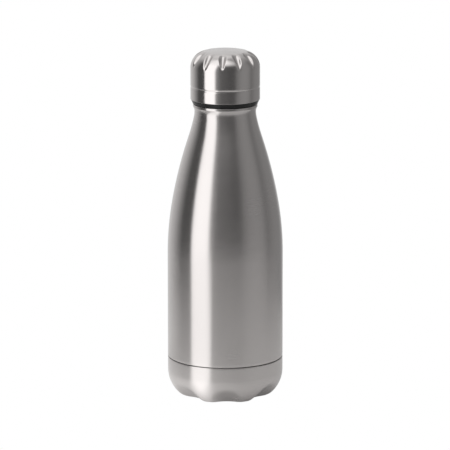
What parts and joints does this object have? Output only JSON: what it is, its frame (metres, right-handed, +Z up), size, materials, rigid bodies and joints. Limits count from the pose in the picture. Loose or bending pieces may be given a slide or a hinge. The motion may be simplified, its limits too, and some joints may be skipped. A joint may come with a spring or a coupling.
{
  "type": "insulated water bottle",
  "caption": "Cola-shaped double-wall stainless vacuum bottle with a petal base, a narrow threaded mouth and a fluted steel screw cap.",
  "frame": {"origin": "middle of the ring that the base lobes stand on, at floor level", "axes": "+Z up along the bottle's axis, -Y the front, +X to the right seen from the front"},
  "size_m": [0.07, 0.07, 0.2129],
  "materials": {
    "brushed_steel": "fine horizontal brushing",
    "cap_steel": "semi-polished, finely turned",
    "satin_steel": "satin, electropolished",
    "foil": "bright copper foil",
    "solder_glass": "dark glass solder",
    "getter_powder": "matt pressed powder",
    "glue": "grey cured adhesive",
    "silicone": "translucent grey silicone",
    "black_plastic": "glossy black polypropylene",
    "foam": "fine closed-cell foam"
  },
  "bodies": {
    "bottle": {"outer_shell": "brushed_steel", "base_cup": "brushed_steel", "inner_liner": "satin_steel", "liner_bottom": "satin_steel", "liner_foil": "foil", "vacuum_base": "satin_steel", "vacuum_seal_bead": "solder_glass", "getter_tray": "satin_steel", "getter_pellet": "getter_powder", "base_glue_ring": "glue"},
    "seal": {"seal_ring": "silicone"},
    "cap": {"cap_shell": "cap_steel", "cap_insert": "black_plastic", "cap_glue_ring": "glue", "threaded_plug": "black_plastic", "plug_floor": "black_plastic", "plug_foam": "foam"}
  },
  "joints": [
    {"name": "cap_rise", "type": "slide", "parent": "bottle", "child": "seal", "axis": [0, 0, 1], "range_m": [0, 0.024]},
    {"name": "cap_turn", "type": "hinge", "parent": "seal", "child": "cap", "pos_m": [0, 0, 0.181], "axis": [0, 0, 1], "range_deg": [0, 2160]}
  ],
  "couplings": [
    {"joint": "cap_rise", "follows": "cap_turn", "m_per_rad": 0.00063662}
  ]
}
